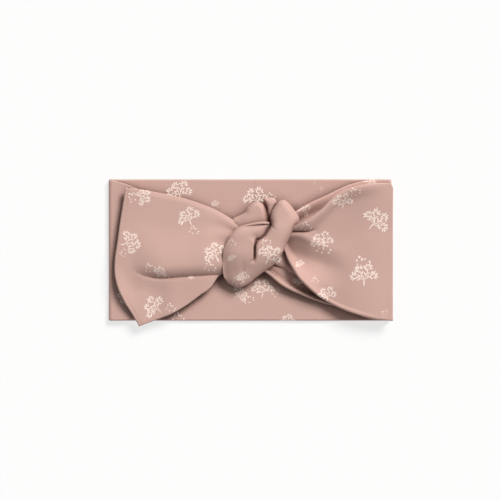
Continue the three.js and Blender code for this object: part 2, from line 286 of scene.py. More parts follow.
def sprig_marks():
    """The strokes of one sprig, as (x, y, turn, half length, half width). It fits a circle of radius 1
    and grows upwards: a stem that forks into branches, each ending in a fan of slender leaves."""
    fork = -0.44
    marks = [(0.01, -0.66, 86, 0.25, 0.045)]
    for lean, length in ((-72, 0.68), (-27, 0.76), (20, 0.86), (66, 0.72)):
        dx, dy = polar(1, lean)
        middle = length / 2
        tip_x, tip_y = dx * length, fork + dy * length
        marks.append((dx * middle, fork + dy * middle, 90 - lean, middle, 0.036))
        for k in range(-2, 3):
            leaf_lean = lean + k * 42
            ex, ey = polar(0.235 - 0.012 * abs(k), leaf_lean)
            marks.append((tip_x + ex, tip_y + ey, 90 - leaf_lean, 0.125, 0.06))
        for side, share in ((-1, 0.36), (1, 0.56), (-1, 0.74)):
            leaf_lean = lean + side * 50
            ex, ey = polar(0.16, leaf_lean)
            at = share * length
            marks.append((dx * at + ex, fork + dy * at + ey, 90 - leaf_lean, 0.115, 0.052))
    return marks


def dots_marks():
    """A loose handful of dots, as (x, y, turn, half length, half width), in a circle of radius 1."""
    rng = np.random.RandomState(8)
    marks = []
    for k in range(9):
        x, y = polar(0.25 + 0.72 * rng.rand(), k * 137.5)
        size = 0.07 + 0.06 * rng.rand()
        marks.append((x, 0.7 * y, 0, size, size))
    return marks


def mark_group(name, marks):
    """A node group: the vector, seen from the middle of some marks, to how far the print covers it."""
    group = bpy.data.node_groups.new(name, "ShaderNodeTree")
    group.interface.new_socket("Vector", in_out="INPUT", socket_type="NodeSocketVector")
    group.interface.new_socket("Cover", in_out="OUTPUT", socket_type="NodeSocketFloat")
    entry = group.nodes.new("NodeGroupInput").outputs[0]
    nearest = None
    for mark in marks:
        distance = length_of(group, placed(group, entry, *mark))
        nearest = distance if nearest is None else math_node(group, "MINIMUM", nearest, distance)
    cover = new_node(group, "MapRange", Value=nearest, From_Min=1.12, From_Max=0.84)
    leave = group.nodes.new("NodeGroupOutput")
    link(group, cover.outputs[0], leave.inputs[0])
    return group


SPRIG = mark_group("sprig", sprig_marks())
DOTS = mark_group("dots", dots_marks())


def nearest_sprig(tree, vector, placements):
    """The vector as seen from whichever sprig is nearest. Placements are (x, y, turn, radius)."""
    chosen = shortest = None
    for placement in placements:
        local = placed(tree, vector, *placement)
        distance = length_of(tree, local)
        if chosen is None:
            chosen, shortest = local, distance
            continue
        nearer = math_node(tree, "LESS_THAN", distance, shortest)
        choice = new_node(tree, "Mix", Factor=nearer)
        choice.data_type = "VECTOR"
        link(tree, chosen, choice.inputs[4])
        link(tree, local, choice.inputs[5])
        chosen = choice.outputs[1]
        shortest = math_node(tree, "MINIMUM", shortest, distance)
    return chosen


def scattered_sprig(tree, vector):
    """The vector as seen from the nearest of a loose scatter of sprigs, each turned its own way."""
    cells = new_node(tree, "TexVoronoi", Scale=1 / SCATTER_SPACING, Randomness=0.7)
    cells.voronoi_dimensions = "2D"
    link(tree, vector, cells.inputs["Vector"])
    offset = vector_math(tree, "SUBTRACT", vector, cells.outputs["Position"])
    spread = new_node(tree, "SeparateColor", Color=cells.outputs["Color"])
    turn = math_node(tree, "MULTIPLY", spread.outputs[0], 2 * math.pi)
    rotated = new_node(tree, "VectorRotate", Vector=offset, Angle=turn)
    rotated.rotation_type = "Z_AXIS"
    return vector_math(tree, "MULTIPLY", rotated.outputs[0], (1 / SCATTER_RADIUS,) * 3)


def noise(tree, vector, scale, detail=2.0):
    return new_node(tree, "TexNoise", Scale=scale, Detail=detail, Vector=vector).outputs["Fac"]


def mix_colour(tree, factor, a, b):
    node = new_node(tree, "Mix", Factor=factor)
    node.data_type = "RGBA"
    plug(tree, a, node.inputs[6])
    plug(tree, b, node.inputs[7])
    return node.outputs[2]


def printed(tree, group, vector):
    node = tree.nodes.new("ShaderNodeGroup")
    node.node_tree = group
    link(tree, vector, node.inputs[0])
    return node.outputs[0]


def dye(tree, cloth, fleck):
    """Faint clouding over the cloth, and a fleck from loop to loop."""
    clouds = noise(tree, cloth, 0.03)
    dyed = mix_colour(tree, clouds, JERSEY_COOL, JERSEY_WARM)
    return mix_colour(tree, math_node(tree, "MULTIPLY", fleck, 0.16), dyed, JERSEY_FLECK)


def with_painted_fold_shade(tree, dyed):
    """Painted shade: where ambient occlusion finds the cloth deep in a fold, its colour is mixed towards
    a dark brown.
    """
    seen = new_node(tree, "AmbientOcclusion", Distance=9 * MM)
    seen.samples = 6
    openness = new_node(tree, "MapRange", Value=seen.outputs["AO"], From_Min=0.2, From_Max=0.95)
    openness.interpolation_type = "SMOOTHSTEP"
    return mix_colour(tree, openness.outputs[0], PAINTED_FOLD_SHADE, dyed)


def print_cover(tree, cloth, fleck, sprigs, dots):
    """How much of the print covers the cloth. It is drawn by hand, so no two sprigs are quite alike, and
    worn where it crosses the loops."""
    wobble = new_node(tree, "TexNoise", Scale=0.22, Vector=cloth)
    reach = (PRINT_WOBBLE, PRINT_WOBBLE, 0)
    shifted = vector_math(tree, "MULTIPLY_ADD", wobble.outputs["Color"], reach, cloth)
    drawn = placed(tree, shifted, PRINT_WOBBLE / 2, PRINT_WOBBLE / 2, 0, 1)
    where = nearest_sprig(tree, drawn, sprigs) if sprigs else scattered_sprig(tree, drawn)
    cover = printed(tree, SPRIG, where)
    if dots:
        spots = printed(tree, DOTS, nearest_sprig(tree, cloth, dots))
        cover = math_node(tree, "MAXIMUM", cover, spots)
    worn = math_node(tree, "MULTIPLY_ADD", fleck, 0.35, 0.72)
    return math_node(tree, "MULTIPLY", cover, worn)


def knit(tree, cloth):
    """Fine wales along the cloth with an uneven surface, as a normal."""
    wales = new_node(tree, "TexWave", Scale=0.36, Vector=cloth)
    fill(tree, wales, Distortion=1.2, Detail=1.0, Detail_Scale=2.0)
    wales.bands_direction = "Y"
    uneven = math_node(tree, "MULTIPLY", noise(tree, cloth, 1.1, 3.0), 1.2)
    height = math_node(tree, "MULTIPLY_ADD", wales.outputs["Fac"], 0.45, uneven)
    return new_node(tree, "Bump", Strength=0.35, Distance=0.12 * MM, Height=height).outputs[0]


def jersey(name, sprigs=None, dots=None):
    """Matte cotton jersey with the sprig print: listed sprigs and dots, or a loose scatter."""
    material, tree, shader = new_material(name)
    plan = tree.nodes.new("ShaderNodeUVMap")
    plan.uv_map = "cloth"
    cloth = plan.outputs[0]
    fleck = noise(tree, cloth, 2.2)
    # the folds get painted shade; the print goes on over it unshaded
    dyed = with_painted_fold_shade(tree, dye(tree, cloth, fleck))
    cover = print_cover(tree, cloth, fleck, sprigs, dots)
    fill(tree, shader, Base_Color=mix_colour(tree, cover, dyed, PRINT_CREAM), Normal=knit(tree, cloth))
    fill(tree, shader, Roughness=0.9, Specular_IOR_Level=0.25)
    fill(tree, shader, Sheen_Weight=0.18, Sheen_Roughness=0.5, Sheen_Tint=SHEEN_TINT)
    return material


def satin():
    """Soft white woven ribbon."""
    material, tree, shader = new_material("label_satin")
    place = tree.nodes.new("ShaderNodeTexCoord").outputs["Object"]
    weave = noise(tree, place, 2500, 1.0)
    fill(tree, shader, Base_Color=mix_colour(tree, weave, LABEL_WHITE, LABEL_SHADE), Roughness=0.45)
    return material


def paper():
    """The floor is lit from below as well, as on a light table, so that the shadows on it stay faint."""
    material, tree, shader = new_material("paper")
    fill(tree, shader, Base_Color=(FLOOR_GREY,) * 3 + (1,), Roughness=1.0, Specular_IOR_Level=0.0)
    fill(tree, shader, Emission_Color=(1, 1, 1, 1), Emission_Strength=FLOOR_GLOW)
    return material


# Sprigs and dots as (x, y, turn, radius): turned anticlockwise from growing towards +Y.
BACK_SPRIGS = [
    (-44.8, 38.6, 0, 8.2),
    (-21.9, 29.6, 30, 2.8),
    (3.4, 34.4, 0, 8.4),
    (76.4, 44.6, 90, 5.5),
    (-5.6, -28.0, -60, 5.6),
    (7.6, -23.6, 0, 7.4),
    (23.6, -44.6, 0, 5.4),
    (-60.0, 8.0, 130, 7.5),
    (30.0, 6.0, -70, 7.5),
    (-20.0, 4.0, 40, 7.0),
    (62.0, -12.0, 200, 7.5),
]
BACK_DOTS = [
    (-46.0, -43.0, 0, 5.0),
    (-60.0, -41.0, 60, 2.4),
    (13.0, 34.0, 10, 4.0),
    (41.0, 42.4, 0, 1.2),
    (45.4, 39.0, 40, 1.6),
    (-1.0, -31.5, 30, 4.4),
    (16.0, -27.0, 70, 4.0),
]
STRAND_SPRIGS = [
    (34.0, 27.0, -56, 5.6),
    (76.4, 44.0, -80, 5.0),
    (55.0, 8.0, 30, 7.0),
    (-80.0, -30.0, 100, 6.0),
    (-55.0, 10.0, -20, 7.0),
    (30.0, -20.0, 150, 3.0),
]
STRAND_DOTS = [(-84.0, -29.0, 0, 2.0), (29.0, 22.5, 0, 2.5)]
LEFT_TAIL_SPRIGS = [
    (-67.0, 34.4, -100, 6.4),
    (-39.2, 22.0, 20, 7.6),
    (-75.0, 5.2, -78, 8.2),
    (-23.0, -1.0, 30, 7.8),
    (-56.6, -13.6, -30, 4.2),
    (-61.6, -35.4, 52, 7.8),
    (-37.1, -17.4, 0, 2.0),
]
LEFT_TAIL_DOTS = [
    (-35.8, 12.4, 0, 4.2),
    (-74.0, 33.6, 50, 5.0),
    (-25.6, -10.6, 0, 5.0),
    (-63.5, -11.6, 20, 4.6),
    (-50.6, -36.6, 0, 4.2),
    (-80.2, -2.0, 90, 3.4),
]
RIGHT_TAIL_SPRIGS = [
    (58.5, 31.6, 0, 6.6),
    (45.3, 6.6, 8, 7.6),
    (80.6, 19.6, -42, 9.2),
    (31.3, -8.8, 10, 3.2),
    (72.2, -14.8, 0, 9.0),
    (48.6, -27.4, 0, 6.4),
]
RIGHT_TAIL_DOTS = [
    (66.0, 36.4, 30, 4.4),
    (35.2, 14.6, 0, 4.6),
    (46.2, 1.0, 0, 6.2),
    (70.6, -8.2, 20, 6.6),
    (41.0, -19.0, 0, 3.0),
    (85.0, -40.0, 60, 3.0),
]
KNOT_SPRIGS = [
    (-11.6, -4.6, 20, 3.0),
    (-4.6, -16.8, 10, 4.4),
    (13.4, -2.2, -30, 8.0),
]
KNOT_DOTS = [
    (-11.4, 4.6, 0, 3.4),
    (-8.0, -19.4, 0, 4.4),
    (10.0, 4.4, 40, 4.0),
]

BACK_CLOTH = jersey("jersey_back", BACK_SPRIGS, BACK_DOTS)
STRAND_CLOTH = jersey("jersey_strands", STRAND_SPRIGS, STRAND_DOTS)
LEFT_TAIL_CLOTH = jersey("jersey_left_tail", LEFT_TAIL_SPRIGS, LEFT_TAIL_DOTS)
RIGHT_TAIL_CLOTH = jersey("jersey_right_tail", RIGHT_TAIL_SPRIGS, RIGHT_TAIL_DOTS)
KNOT_CLOTH = jersey("jersey_knot", KNOT_SPRIGS, KNOT_DOTS)
SCATTER_CLOTH = jersey("jersey_scattered")


# ------------------------------ building


def build_mesh(name, points, faces, uvs, normals, material):
    """points in millimetres, one uv and one normal per point; a zero normal is left to Blender."""
    mesh = bpy.data.meshes.new(name)
    mesh.from_pydata((np.asarray(points) * MM).tolist(), [], faces)
    mesh.polygons.foreach_set("use_smooth", [True] * len(mesh.polygons))
    layer = mesh.uv_layers.new(name="cloth")
    corners = np.zeros(len(mesh.loops), int)
    mesh.loops.foreach_get("vertex_index", corners)
    layer.data.foreach_set("uv", np.asarray(uvs, np.float32)[corners].ravel())
    mesh.materials.append(material)
    mesh.update()
    if normals is not None:
        mesh.normals_split_custom_set_from_vertices(np.asarray(normals).tolist())
    piece = place_in_scene(name, mesh)
    return piece


def unit(vectors):
    return vectors / np.maximum(np.linalg.norm(vectors, axis=-1, keepdims=True), 1e-9)


def grid_faces(rows, columns, start, flip):
    faces = []
    for i in range(rows - 1):
        for j in range(columns - 1):
            k = start + i * columns + j
            quad = (k, k + columns, k + columns + 1, k + 1)
            faces.append(quad[::-1] if flip else quad)
    return faces


def slab_faces(rows, columns, flip):
    """Faces of a closed slab whose points are one grid, then the grid behind it."""
    count = rows * columns
    faces = grid_faces(rows, columns, 0, flip)
    faces += grid_faces(rows, columns, count, not flip)
    rim = [(0, j) for j in range(columns)]
    rim += [(i, columns - 1) for i in range(1, rows)]
    rim += [(rows - 1, j) for j in range(columns - 2, -1, -1)]
    rim += [(i, 0) for i in range(rows - 2, 0, -1)]
    rim = [i * columns + j for i, j in rim]
    for a, b in zip(rim, rim[1:] + rim[:1]):
        wall = (a, b, count + b, count + a)
        faces.append(wall[::-1] if flip else wall)
    return faces


def is_left_handed(middle, normal, facing):
    """Which way round the quads go, from the grid's own handedness at its middle."""
    i, j = middle.shape[0] // 2, middle.shape[1] // 2
    across = middle[i, j + 1] - middle[i, j]
    along = middle[i + 1, j] - middle[i, j]
    return np.dot(np.cross(along, across), normal[i, j]) * facing <= 0


def build_layer(name, middle, normal, edges, facing, material, seam_at=None, unrolled=None):
    """One half-thickness layer of the tube. middle and normal are grids of the tube's middle surface.
    edges is a list of (distance to a turned edge, outward direction there), as grids. facing is +1 for
    the layer on the normal's side. unrolled is where the print takes its x from, if not from the plan."""
    rows, columns = middle.shape[:2]
    thickness = np.ones((rows, columns))
    lean = np.zeros((rows, columns, 3))
    for distance, outward in edges:
        inside = np.clip(distance / EDGE_RADIUS, 0.0, 1.0)
        round_off = np.sqrt(np.maximum(1 - (1 - inside) ** 2, 0.0))
        slope = HALF_THICK / EDGE_RADIUS * (1 - inside) / np.maximum(round_off, 0.02)
        thickness *= round_off
        lean += outward * np.minimum(slope, 40.0)[..., None]
    offset = HALF_THICK * thickness
    if seam_at is not None:
        offset = offset - END_SEAM_DEPTH * bell((seam_at - END_SEAM_INSET) / END_SEAM_WIDTH)
    outer = middle + facing * normal * offset[..., None]
    inner = middle + facing * normal * LAYER_GAP
    outer_normal = unit(facing * normal + lean).reshape(-1, 3)

    points = np.concatenate([outer.reshape(-1, 3), inner.reshape(-1, 3)])
    faces = slab_faces(rows, columns, is_left_handed(middle, normal, facing))
    across_print = outer[..., 0] if unrolled is None else unrolled
    plan = np.stack([across_print, outer[..., 1]], axis=-1).reshape(-1, 2)
    uvs = np.concatenate([plan, plan])
    normals = np.concatenate([outer_normal, np.zeros(outer_normal.shape)])
    return build_mesh(name, points, faces, uvs, normals, material)


def slope_of(curve, x):
    return (curve(x + SLOPE_STEP) - curve(x - SLOPE_STEP)) / (2 * SLOPE_STEP)


def slopes(height, reach, y):
    """How steeply a height field rises with reach and with y."""
    return slope_of(lambda x: height(x, y), reach), slope_of(lambda x: height(reach, x), y)


def strip_columns(count):
    """Columns across a strip, as (share of the way across, distance in from the nearer edge)."""
    low = [(0.0, step * EDGE_RADIUS) for step in EDGE_STEPS]
    high = [(1.0, step * EDGE_RADIUS) for step in reversed(EDGE_STEPS)]
    middle = [(share, None) for share in np.linspace(0, 1, count + 2)[1:-1]]
    return low + middle + high


def across_strip(spec, low, high, low_cos, high_cos):
    """y of every point of a strip between two edges; the cosines are of the angles they run at."""
    y = np.zeros(low.shape)
    for j, (share, inset) in enumerate(spec):
        if inset is None:
            low_in = low[:, j] + EDGE_RADIUS / low_cos[:, j]
            high_in = high[:, j] - EDGE_RADIUS / high_cos[:, j]
            y[:, j] = mix(low_in, high_in, share)
        elif share == 0.0:
            y[:, j] = low[:, j] + inset / low_cos[:, j]
        else:
            y[:, j] = high[:, j] - inset / high_cos[:, j]
    return y


def reach_grid(reaches, shares, free_end):
    """Reach of every point of a strip, and its distance from the free end, if it has one."""
    if free_end is None:
        return np.repeat(reaches[:, None], len(shares), axis=1), None
    # rows run to the free end, then close up on it
    last = free_end(shares)
    rows = [mix(reaches[0], last - EDGE_RADIUS, t) for t in np.linspace(0, 1, len(reaches))[:-1]]
    rows += [last - step * EDGE_RADIUS for step in reversed(EDGE_STEPS)]
    reach = np.array(rows)
    return reach, last[None, :] - reach


def strip_layer(name, strip, reaches, columns, facing, material, free_end=None):
    """A length of a strip that is a height field over the plan: reach out from the centre line on one
    side, y between a low and a high edge. A free end is a curve of reach by share across."""
    side, low, high, height = strip
    spec = strip_columns(columns)
    shares = np.array([share for share, _ in spec])
    reach, end_distance = reach_grid(reaches, shares, free_end)
    low_y, high_y = low(reach), high(reach)
    low_slope, high_slope = slope_of(low, reach), slope_of(high, reach)
    low_cos = 1 / np.sqrt(1 + low_slope**2)
    high_cos = 1 / np.sqrt(1 + high_slope**2)
    y = across_strip(spec, low_y, high_y, low_cos, high_cos)
    by_reach, by_y = slopes(height, reach, y)
    one, level = np.ones(reach.shape), np.zeros(reach.shape)
    middle = np.stack([side * reach, y, height(reach, y)], axis=-1)
    normal = unit(np.stack([-side * by_reach, -by_y, one], axis=-1))
    low_outward = unit(np.stack([side * low_slope, -one, level], axis=-1))
    high_outward = unit(np.stack([-side * high_slope, one, level], axis=-1))
    edges = [((y - low_y) * low_cos, low_outward), ((high_y - y) * high_cos, high_outward)]
    if end_distance is not None:
        edges.append((end_distance, np.stack([side * one, level, level], axis=-1)))
    return build_layer(name, middle, normal, edges, facing, material, end_distance)


def steps_between(start, end, size):
    return np.linspace(start, end, max(2, int(abs(end - start) / size) + 1))


# ------------------------------ the band


def flat_low(reach):
    return np.full(np.shape(reach), -HALF_HEIGHT)


def flat_high(reach):
    return np.full(np.shape(reach), HALF_HEIGHT)


LEFT_STRAND_LOW = through(
    (5, -8), (15, -10.5), (25, -18), (35, -27), (50, -37), (65, -42.5), (76, -44.6), (90, -45)
)
LEFT_STRAND_HIGH = through((5, 9), (15, 16), (30, 25.5), (50, 32), (69, 38), (80, 42.5), (90, 45))
RIGHT_STRAND_LOW = through(
    (5, -11), (10, -14.3), (20, -22.4), (33, -28.7), (47, -33.9), (60, -37.4), (68, -41), (77, -43.9),
    (90, -45)
)
RIGHT_STRAND_HIGH = through(
    (5, 8), (15, 15), (28.4, 24.4), (38, 30), (48, 34.6), (56, 38.6), (63, 41.6), (70, 43.6),
    (80, 44.6), (90, 45)
)
STRAND_EDGES = {
    LEFT: (LEFT_STRAND_LOW, LEFT_STRAND_HIGH),
    RIGHT: (RIGHT_STRAND_LOW, RIGHT_STRAND_HIGH),
}
STRAND_RISE = through(
    (5, 7.6), (9, 4.6), (14, 2.9), (22, 3.2), (35, 2.5), (50, 1.8), (66, 0.8), (80, 0.1), (90, 0)
)
# how high the top and low edges roll up, and how deep the strand sinks between them
STRAND_ROLLS = {LEFT: (1.5, 1.3, 1.0), RIGHT: (2.6, 0.5, 3.0)}
BACK_LEVEL = HALF_THICK
FRONT_LEVEL = 2 * FOLD_Z - HALF_THICK

BACK_RIPPLES = ripples(3, 46)
STRAND_RIPPLES = ripples(5, 22)


def back_height(reach, y):
    calm = smooth((80 - reach) / 25)
    return BACK_LEVEL + 0.12 * calm * (1 + BACK_RIPPLES(reach, y))


def strand_height(side):
    """Middle surface of a strand: gathered up towards the knot, rolled along both edges."""
    low, high = STRAND_EDGES[side]
    top_size, low_size, sinking = STRAND_ROLLS[side]

    def height(reach, y):
        share = (y - low(reach)) / (high(reach) - low(reach))
        up, down = y - low(reach), high(reach) - y
        gather = smooth((72 - reach) / 42)
        pleats = 0.25 * gather * np.cos(2 * math.pi * (4 * share + 0.1 * side))
        top_roll = top_size * gather * bell(down / 5.2)
        low_roll = low_size * gather * bell((up - 1.0) / 1.2)
        turned = -0.4 * gather * smooth(1 - up / 1.4)
        sunken = -sinking * gather * smooth(up / 5) * smooth((down - 1) / 7)
        calm = smooth((84 - reach) / 20)
        drape = 0.12 * calm * STRAND_RIPPLES(side * reach, y)
        return FRONT_LEVEL + STRAND_RISE(reach) + pleats + sunken + top_roll + low_roll + turned + drape

    return height


def fold_profile(sign):
    """Rows of a fold: length along the cloth, x, z and the normal's x and z. It runs flat, then turns
    through a quarter circle to the tip. sign is -1 for the back and +1 for the front."""
    flat = steps_between(MID_REACH, FOLD_START, FOLD_FLAT_STEP)
    flat = np.concatenate([flat, steps_between(FOLD_START, FOLD_REACH, FOLD_NEAR_STEP)[1:]])
    rows = [(reach, reach, FOLD_Z + sign * FOLD_RADIUS, 0.0, sign) for reach in flat]
    for angle in np.linspace(math.pi / 2, 0, FOLD_TURNS)[1:]:
        out, up = math.cos(angle), sign * math.sin(angle)
        length = FOLD_REACH + (FOLD_RADIUS + HALF_THICK) * (math.pi / 2 - angle)
        rows.append((length, FOLD_REACH + FOLD_RADIUS * out, FOLD_Z + FOLD_RADIUS * up, out, up))
    return np.array(rows).T[:, :, None]


def fold_layer(name, side, part, facing_out, material):
    """From the middle of a side of the band round to the tip of its fold. part is "back" or "front"."""
    is_back = part == "back"
    low, high = (flat_low, flat_high) if is_back else STRAND_EDGES[side]
    height, level = (back_height, BACK_LEVEL) if is_back else (strand_height(side), FRONT_LEVEL)
    spec = strip_columns(FOLD_COLUMNS)
    length, reach, z, out, up = fold_profile(-1 if is_back else 1)
    one = np.ones((len(reach), len(spec)))
    reach = reach * one
    low_y, high_y = low(reach), high(reach)
    y = across_strip(spec, low_y, high_y, one, one)
    z = z + height(np.minimum(reach, FOLD_REACH), y) - level
    by_reach, by_y = slopes(height, reach, y)
    by_reach = np.where(reach < FOLD_REACH, by_reach, 0)
    normal = unit(np.stack([side * (out - up * by_reach), -up * by_y, up * one], axis=-1))
    middle = np.stack([side * reach, y, z], axis=-1)
    down = np.array([0, -1, 0]) * one[..., None]
    edges = [(y - low_y, down), (high_y - y, -down)]
    facing = 1 if facing_out else -1
    piece = build_layer(name, middle, normal, edges, facing, material, unrolled=side * length * one)
    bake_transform(piece)
    return piece


def along_reach(side, reach):
    return Vector((side * reach, 0, 0)) * MM


def make_back(side):
    """Half of the middle of the back, and the back of the side fold."""
    name = SIDE_NAMES[side]
    centre, back = f"back_centre_{name}", f"back_{name}"
    strip = (side, flat_low, flat_high, back_height)
    reaches = steps_between(side * CENTRE_CUT, MID_REACH, BACK_STEP)
    for facing, layer, cloth in ((1, "inner", BACK_CLOTH), (-1, "outer", SCATTER_CLOTH)):
        piece = strip_layer(f"{centre}_{layer}", strip, reaches, BACK_COLUMNS, facing, cloth)
        bend_back(piece, side)
        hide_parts(f"{centre}_{layer}_ply")
        if layer == "outer":
            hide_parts(f"{centre}_top_seam", f"{centre}_bottom_seam")

        piece = fold_layer(f"{back}_{layer}", side, "back", layer == "outer", cloth)
        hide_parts(f"{back}_{layer}_ply", f"{name}_fold_{layer}_ply")
        if layer == "outer":
            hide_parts(f"{back}_top_seam", f"{back}_bottom_seam")


def bend_back(piece, side):
    start, end = BACK_BEND - BACK_SPREAD, BACK_BEND + BACK_SPREAD
    zone = (along_reach(side, start), along_reach(side, end))
    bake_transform(piece)


def make_front(side):
    """The front of the side fold, and the strand that runs from it into the knot."""
    name = SIDE_NAMES[side]
    front = f"front_{name}"
    strip = (side, *STRAND_EDGES[side], strand_height(side))
    reaches = steps_between(MID_REACH, STRAND_INNER_REACH, STRAND_STEP)
    for facing, layer, cloth in ((-1, "inner", SCATTER_CLOTH), (1, "outer", STRAND_CLOTH)):
        piece = fold_layer(f"{front}_{layer}", side, "front", layer == "outer", cloth)
        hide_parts(f"{front}_{layer}_ply")

        piece = strip_layer(f"{front}_gathered_{layer}", strip, reaches, STRAND_COLUMNS, facing, cloth)
        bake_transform(piece)
        if layer == "outer":
            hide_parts(f"knot_gather_{name}")
        else:
            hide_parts(f"{front}_top_seam", f"{front}_bottom_seam")


# ------------------------------ the tails


TAIL_RIPPLES = ripples(11, 30)

LEFT_LOW = through(
    (5, -10), (12, -12.5), (17, -14.6), (20.2, -17), (24.3, -23), (31.9, -28.9), (39.9, -34.8),
    (47.9, -39.6), (60.6, -44.8), (71, -48.6), (90, -55)
)
LEFT_HIGH = through(
    (5, 15), (11, 19.3), (19.8, 24.6), (31.9, 29.6), (44.7, 33.6), (54.2, 35.6), (69.5, 38.4),
    (79.4, 39.6), (90, 40.4)
)
LEFT_END = through(
    (0, 70.8), (0.097, 75), (0.2, 79.8), (0.306, 83.7), (0.397, 85.6), (0.505, 85.7), (0.638, 83.9),
    (0.773, 82.3), (0.907, 80.4), (1, 79.2)
)
LEFT_PLEAT = through(
    (5, -13.4), (14, -14.6), (21.7, -15.3), (31.9, -15.9), (44, -16.7), (55.8, -17.5), (63.8, -16.7),
    (70, -14.8), (76, -11.5)
)
LEFT_LEVEL = through(
    (5, 10.4), (13, 9.6), (20, 9.8), (28, 10.5), (40, 10.6), (55, 10.4), (70, 10.4), (90, 10.2)
)


def left_tail_height(reach, y):
    """Middle surface of the left tail. A lengthwise pleat runs from the knot towards the free end: the
    part above it swells and rolls down into the crease, the part below slips in under it."""
    share = (y - LEFT_LOW(reach)) / (LEFT_HIGH(reach) - LEFT_LOW(reach))
    above = y - LEFT_PLEAT(reach)
    strength = smooth((77 - reach) / 22)
    roll = 1 - (1 - np.clip(above / 8.0, 0, 1)) ** 2.4
    settle = smooth((above - 8) / 26)
    upper = 4.6 * roll * (1 - 0.6 * settle)
    lower = -0.9 - 0.8 * smooth(-above / 20) - 0.9 * bell(above / 1.5)
    pleat = strength * np.where(above > 0, upper - 2.1, lower - 0.3)
    # smaller pleats fan out of the knot
    fan = 0.25 * smooth((36 - reach) / 24) * np.cos(2 * math.pi * (4.2 * share + 0.3))
    # the top edge turns down, the lower half hangs a little before the free end lifts again
    top = -0.7 * smooth(1 - (LEFT_HIGH(reach) - y) / 3.5) * smooth((75 - reach) / 20)
    hanging = -2.6 * smooth((-9 - y) / 18) * smooth((reach - 46) / 20) * smooth((88 - reach) / 15)
    corner = 1.6 * smooth((-8 - y) / 20) * smooth((reach - 70) / 14)
    drape = 0.3 * TAIL_RIPPLES(-reach, y) * smooth((reach - 18) / 20)
    return LEFT_LEVEL(reach) + pleat + fan + top + hanging + corner + drape


RIGHT_LOW = through(
    (15, 7), (21.1, 0.6), (23.9, -6.2), (27.1, -12), (30.3, -17), (34.3, -21.4), (38.3, -25.1),
    (43.1, -29), (47.9, -32), (55.8, -36.2), (63.8, -39.4), (71.8, -41.9), (79.8, -43.8), (91, -45)
)
RIGHT_HIGH = through(
    (15, 12), (25, 14.4), (32, 17.2), (38, 20.2), (42, 23.2), (46, 26.6), (50, 30.8), (54, 34.6),
    (58, 37.2), (63, 39.2), (70, 41), (79, 42.2), (91, 42.6)
)
RIGHT_LEVEL = through(
    (15, 8.6), (22, 9.8), (28, 11.0), (35, 11.4), (50, 10.6), (62, 10.2), (75, 10.0), (90, 9.6)
)
RIGHT_CREASE = [(22, 11.2), (31, 12.0), (37, 12.2), (44, 13.8)]
RIGHT_RIDGE = through((15, 12), (24, 10.4), (31, 9.4), (39.6, 6.4), (51, 2.6), (64, -1), (91, -6))


def right_tail_end(share):
    return 90.6 - 1.0 * smooth((share - 0.97) / 0.03)


def right_tail_height(reach, y):
    """Middle surface of the right tail: its top edge rolls over, a short crease and a ridge run out of
    the knot under it, and from that ridge the cloth falls away into a hollow."""
    down = RIGHT_HIGH(reach) - y
    up = y - RIGHT_LOW(reach)
    fade = smooth((92 - reach) / 34)
    swell = 6.8 * smooth((104 - reach) / 40) * smooth((reach - 22) / 16)
    roll = 2.6 * fade * bell((down - 1.8) / 4.4) + swell * np.clip(1 - down / 32, 0, 1) ** 1.7
    edge = -0.5 * fade * smooth(1 - down / 1.6)
    distance, where = path_distance(reach, y, RIGHT_CREASE)
    crease = -2.6 * bell(distance / 1.3) * smooth((1 - where) / 0.5)
    below = RIGHT_RIDGE(reach) - y
    ridge = 0.9 * bell(below / 2.4) * smooth((52 - reach) / 20)
    hollow = smooth((68 - reach) / 26) * (2.0 * smooth((below - 14) / 13) - 4.5 * smooth(below / 14))
    lip = 0.8 * smooth((88 - reach) / 30) * bell((up - 1.0) / 0.9)
    lower = lip + 3.8 * smooth((50 - reach) / 20) * bell(up / 7)
    drape = 0.35 * TAIL_RIPPLES(reach, y) * smooth((reach - 26) / 24)
    return RIGHT_LEVEL(reach) + roll + edge + crease + ridge + hollow + lower + drape


def make_tail(side):
    name = f"{SIDE_NAMES[side]}_tail"
    lift = abs(joint_mm(f"{name}_lift")[0])
    curl = abs(joint_mm(f"{name}_curl")[0])
    if side == LEFT:
        strip = (side, LEFT_LOW, LEFT_HIGH, left_tail_height)
        inner_reach, end, print_cloth = LEFT_TAIL_INNER_REACH, LEFT_END, LEFT_TAIL_CLOTH
    else:
        strip = (side, RIGHT_LOW, RIGHT_HIGH, right_tail_height)
        inner_reach, end, print_cloth = RIGHT_TAIL_INNER_REACH, right_tail_end, RIGHT_TAIL_CLOTH
    middle = (lift + curl) / 2
    inner_half = steps_between(inner_reach, middle, TAIL_STEP)
    free_half = steps_between(middle, TIP_REACH, TIP_STEP)
    for facing, layer, cloth in ((1, "front", print_cloth), (-1, "back", SCATTER_CLOTH)):
        piece = strip_layer(f"{name}_{layer}", strip, inner_half, TAIL_COLUMNS, facing, cloth)
        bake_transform(piece)
        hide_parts(f"{name}_{layer}_ply")
        if layer == "front":
            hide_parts(f"{name}_neck")
        else:
            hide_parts(f"{name}_top_seam", f"{name}_bottom_seam")

        piece = strip_layer(f"{name}_tip_{layer}", strip, free_half, TAIL_COLUMNS, facing, cloth, end)
        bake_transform(piece)
        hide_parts(f"{name}_tip_{layer}_ply")
        if layer == "back":
            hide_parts(f"{name}_tip_seam")


# ------------------------------ the knot


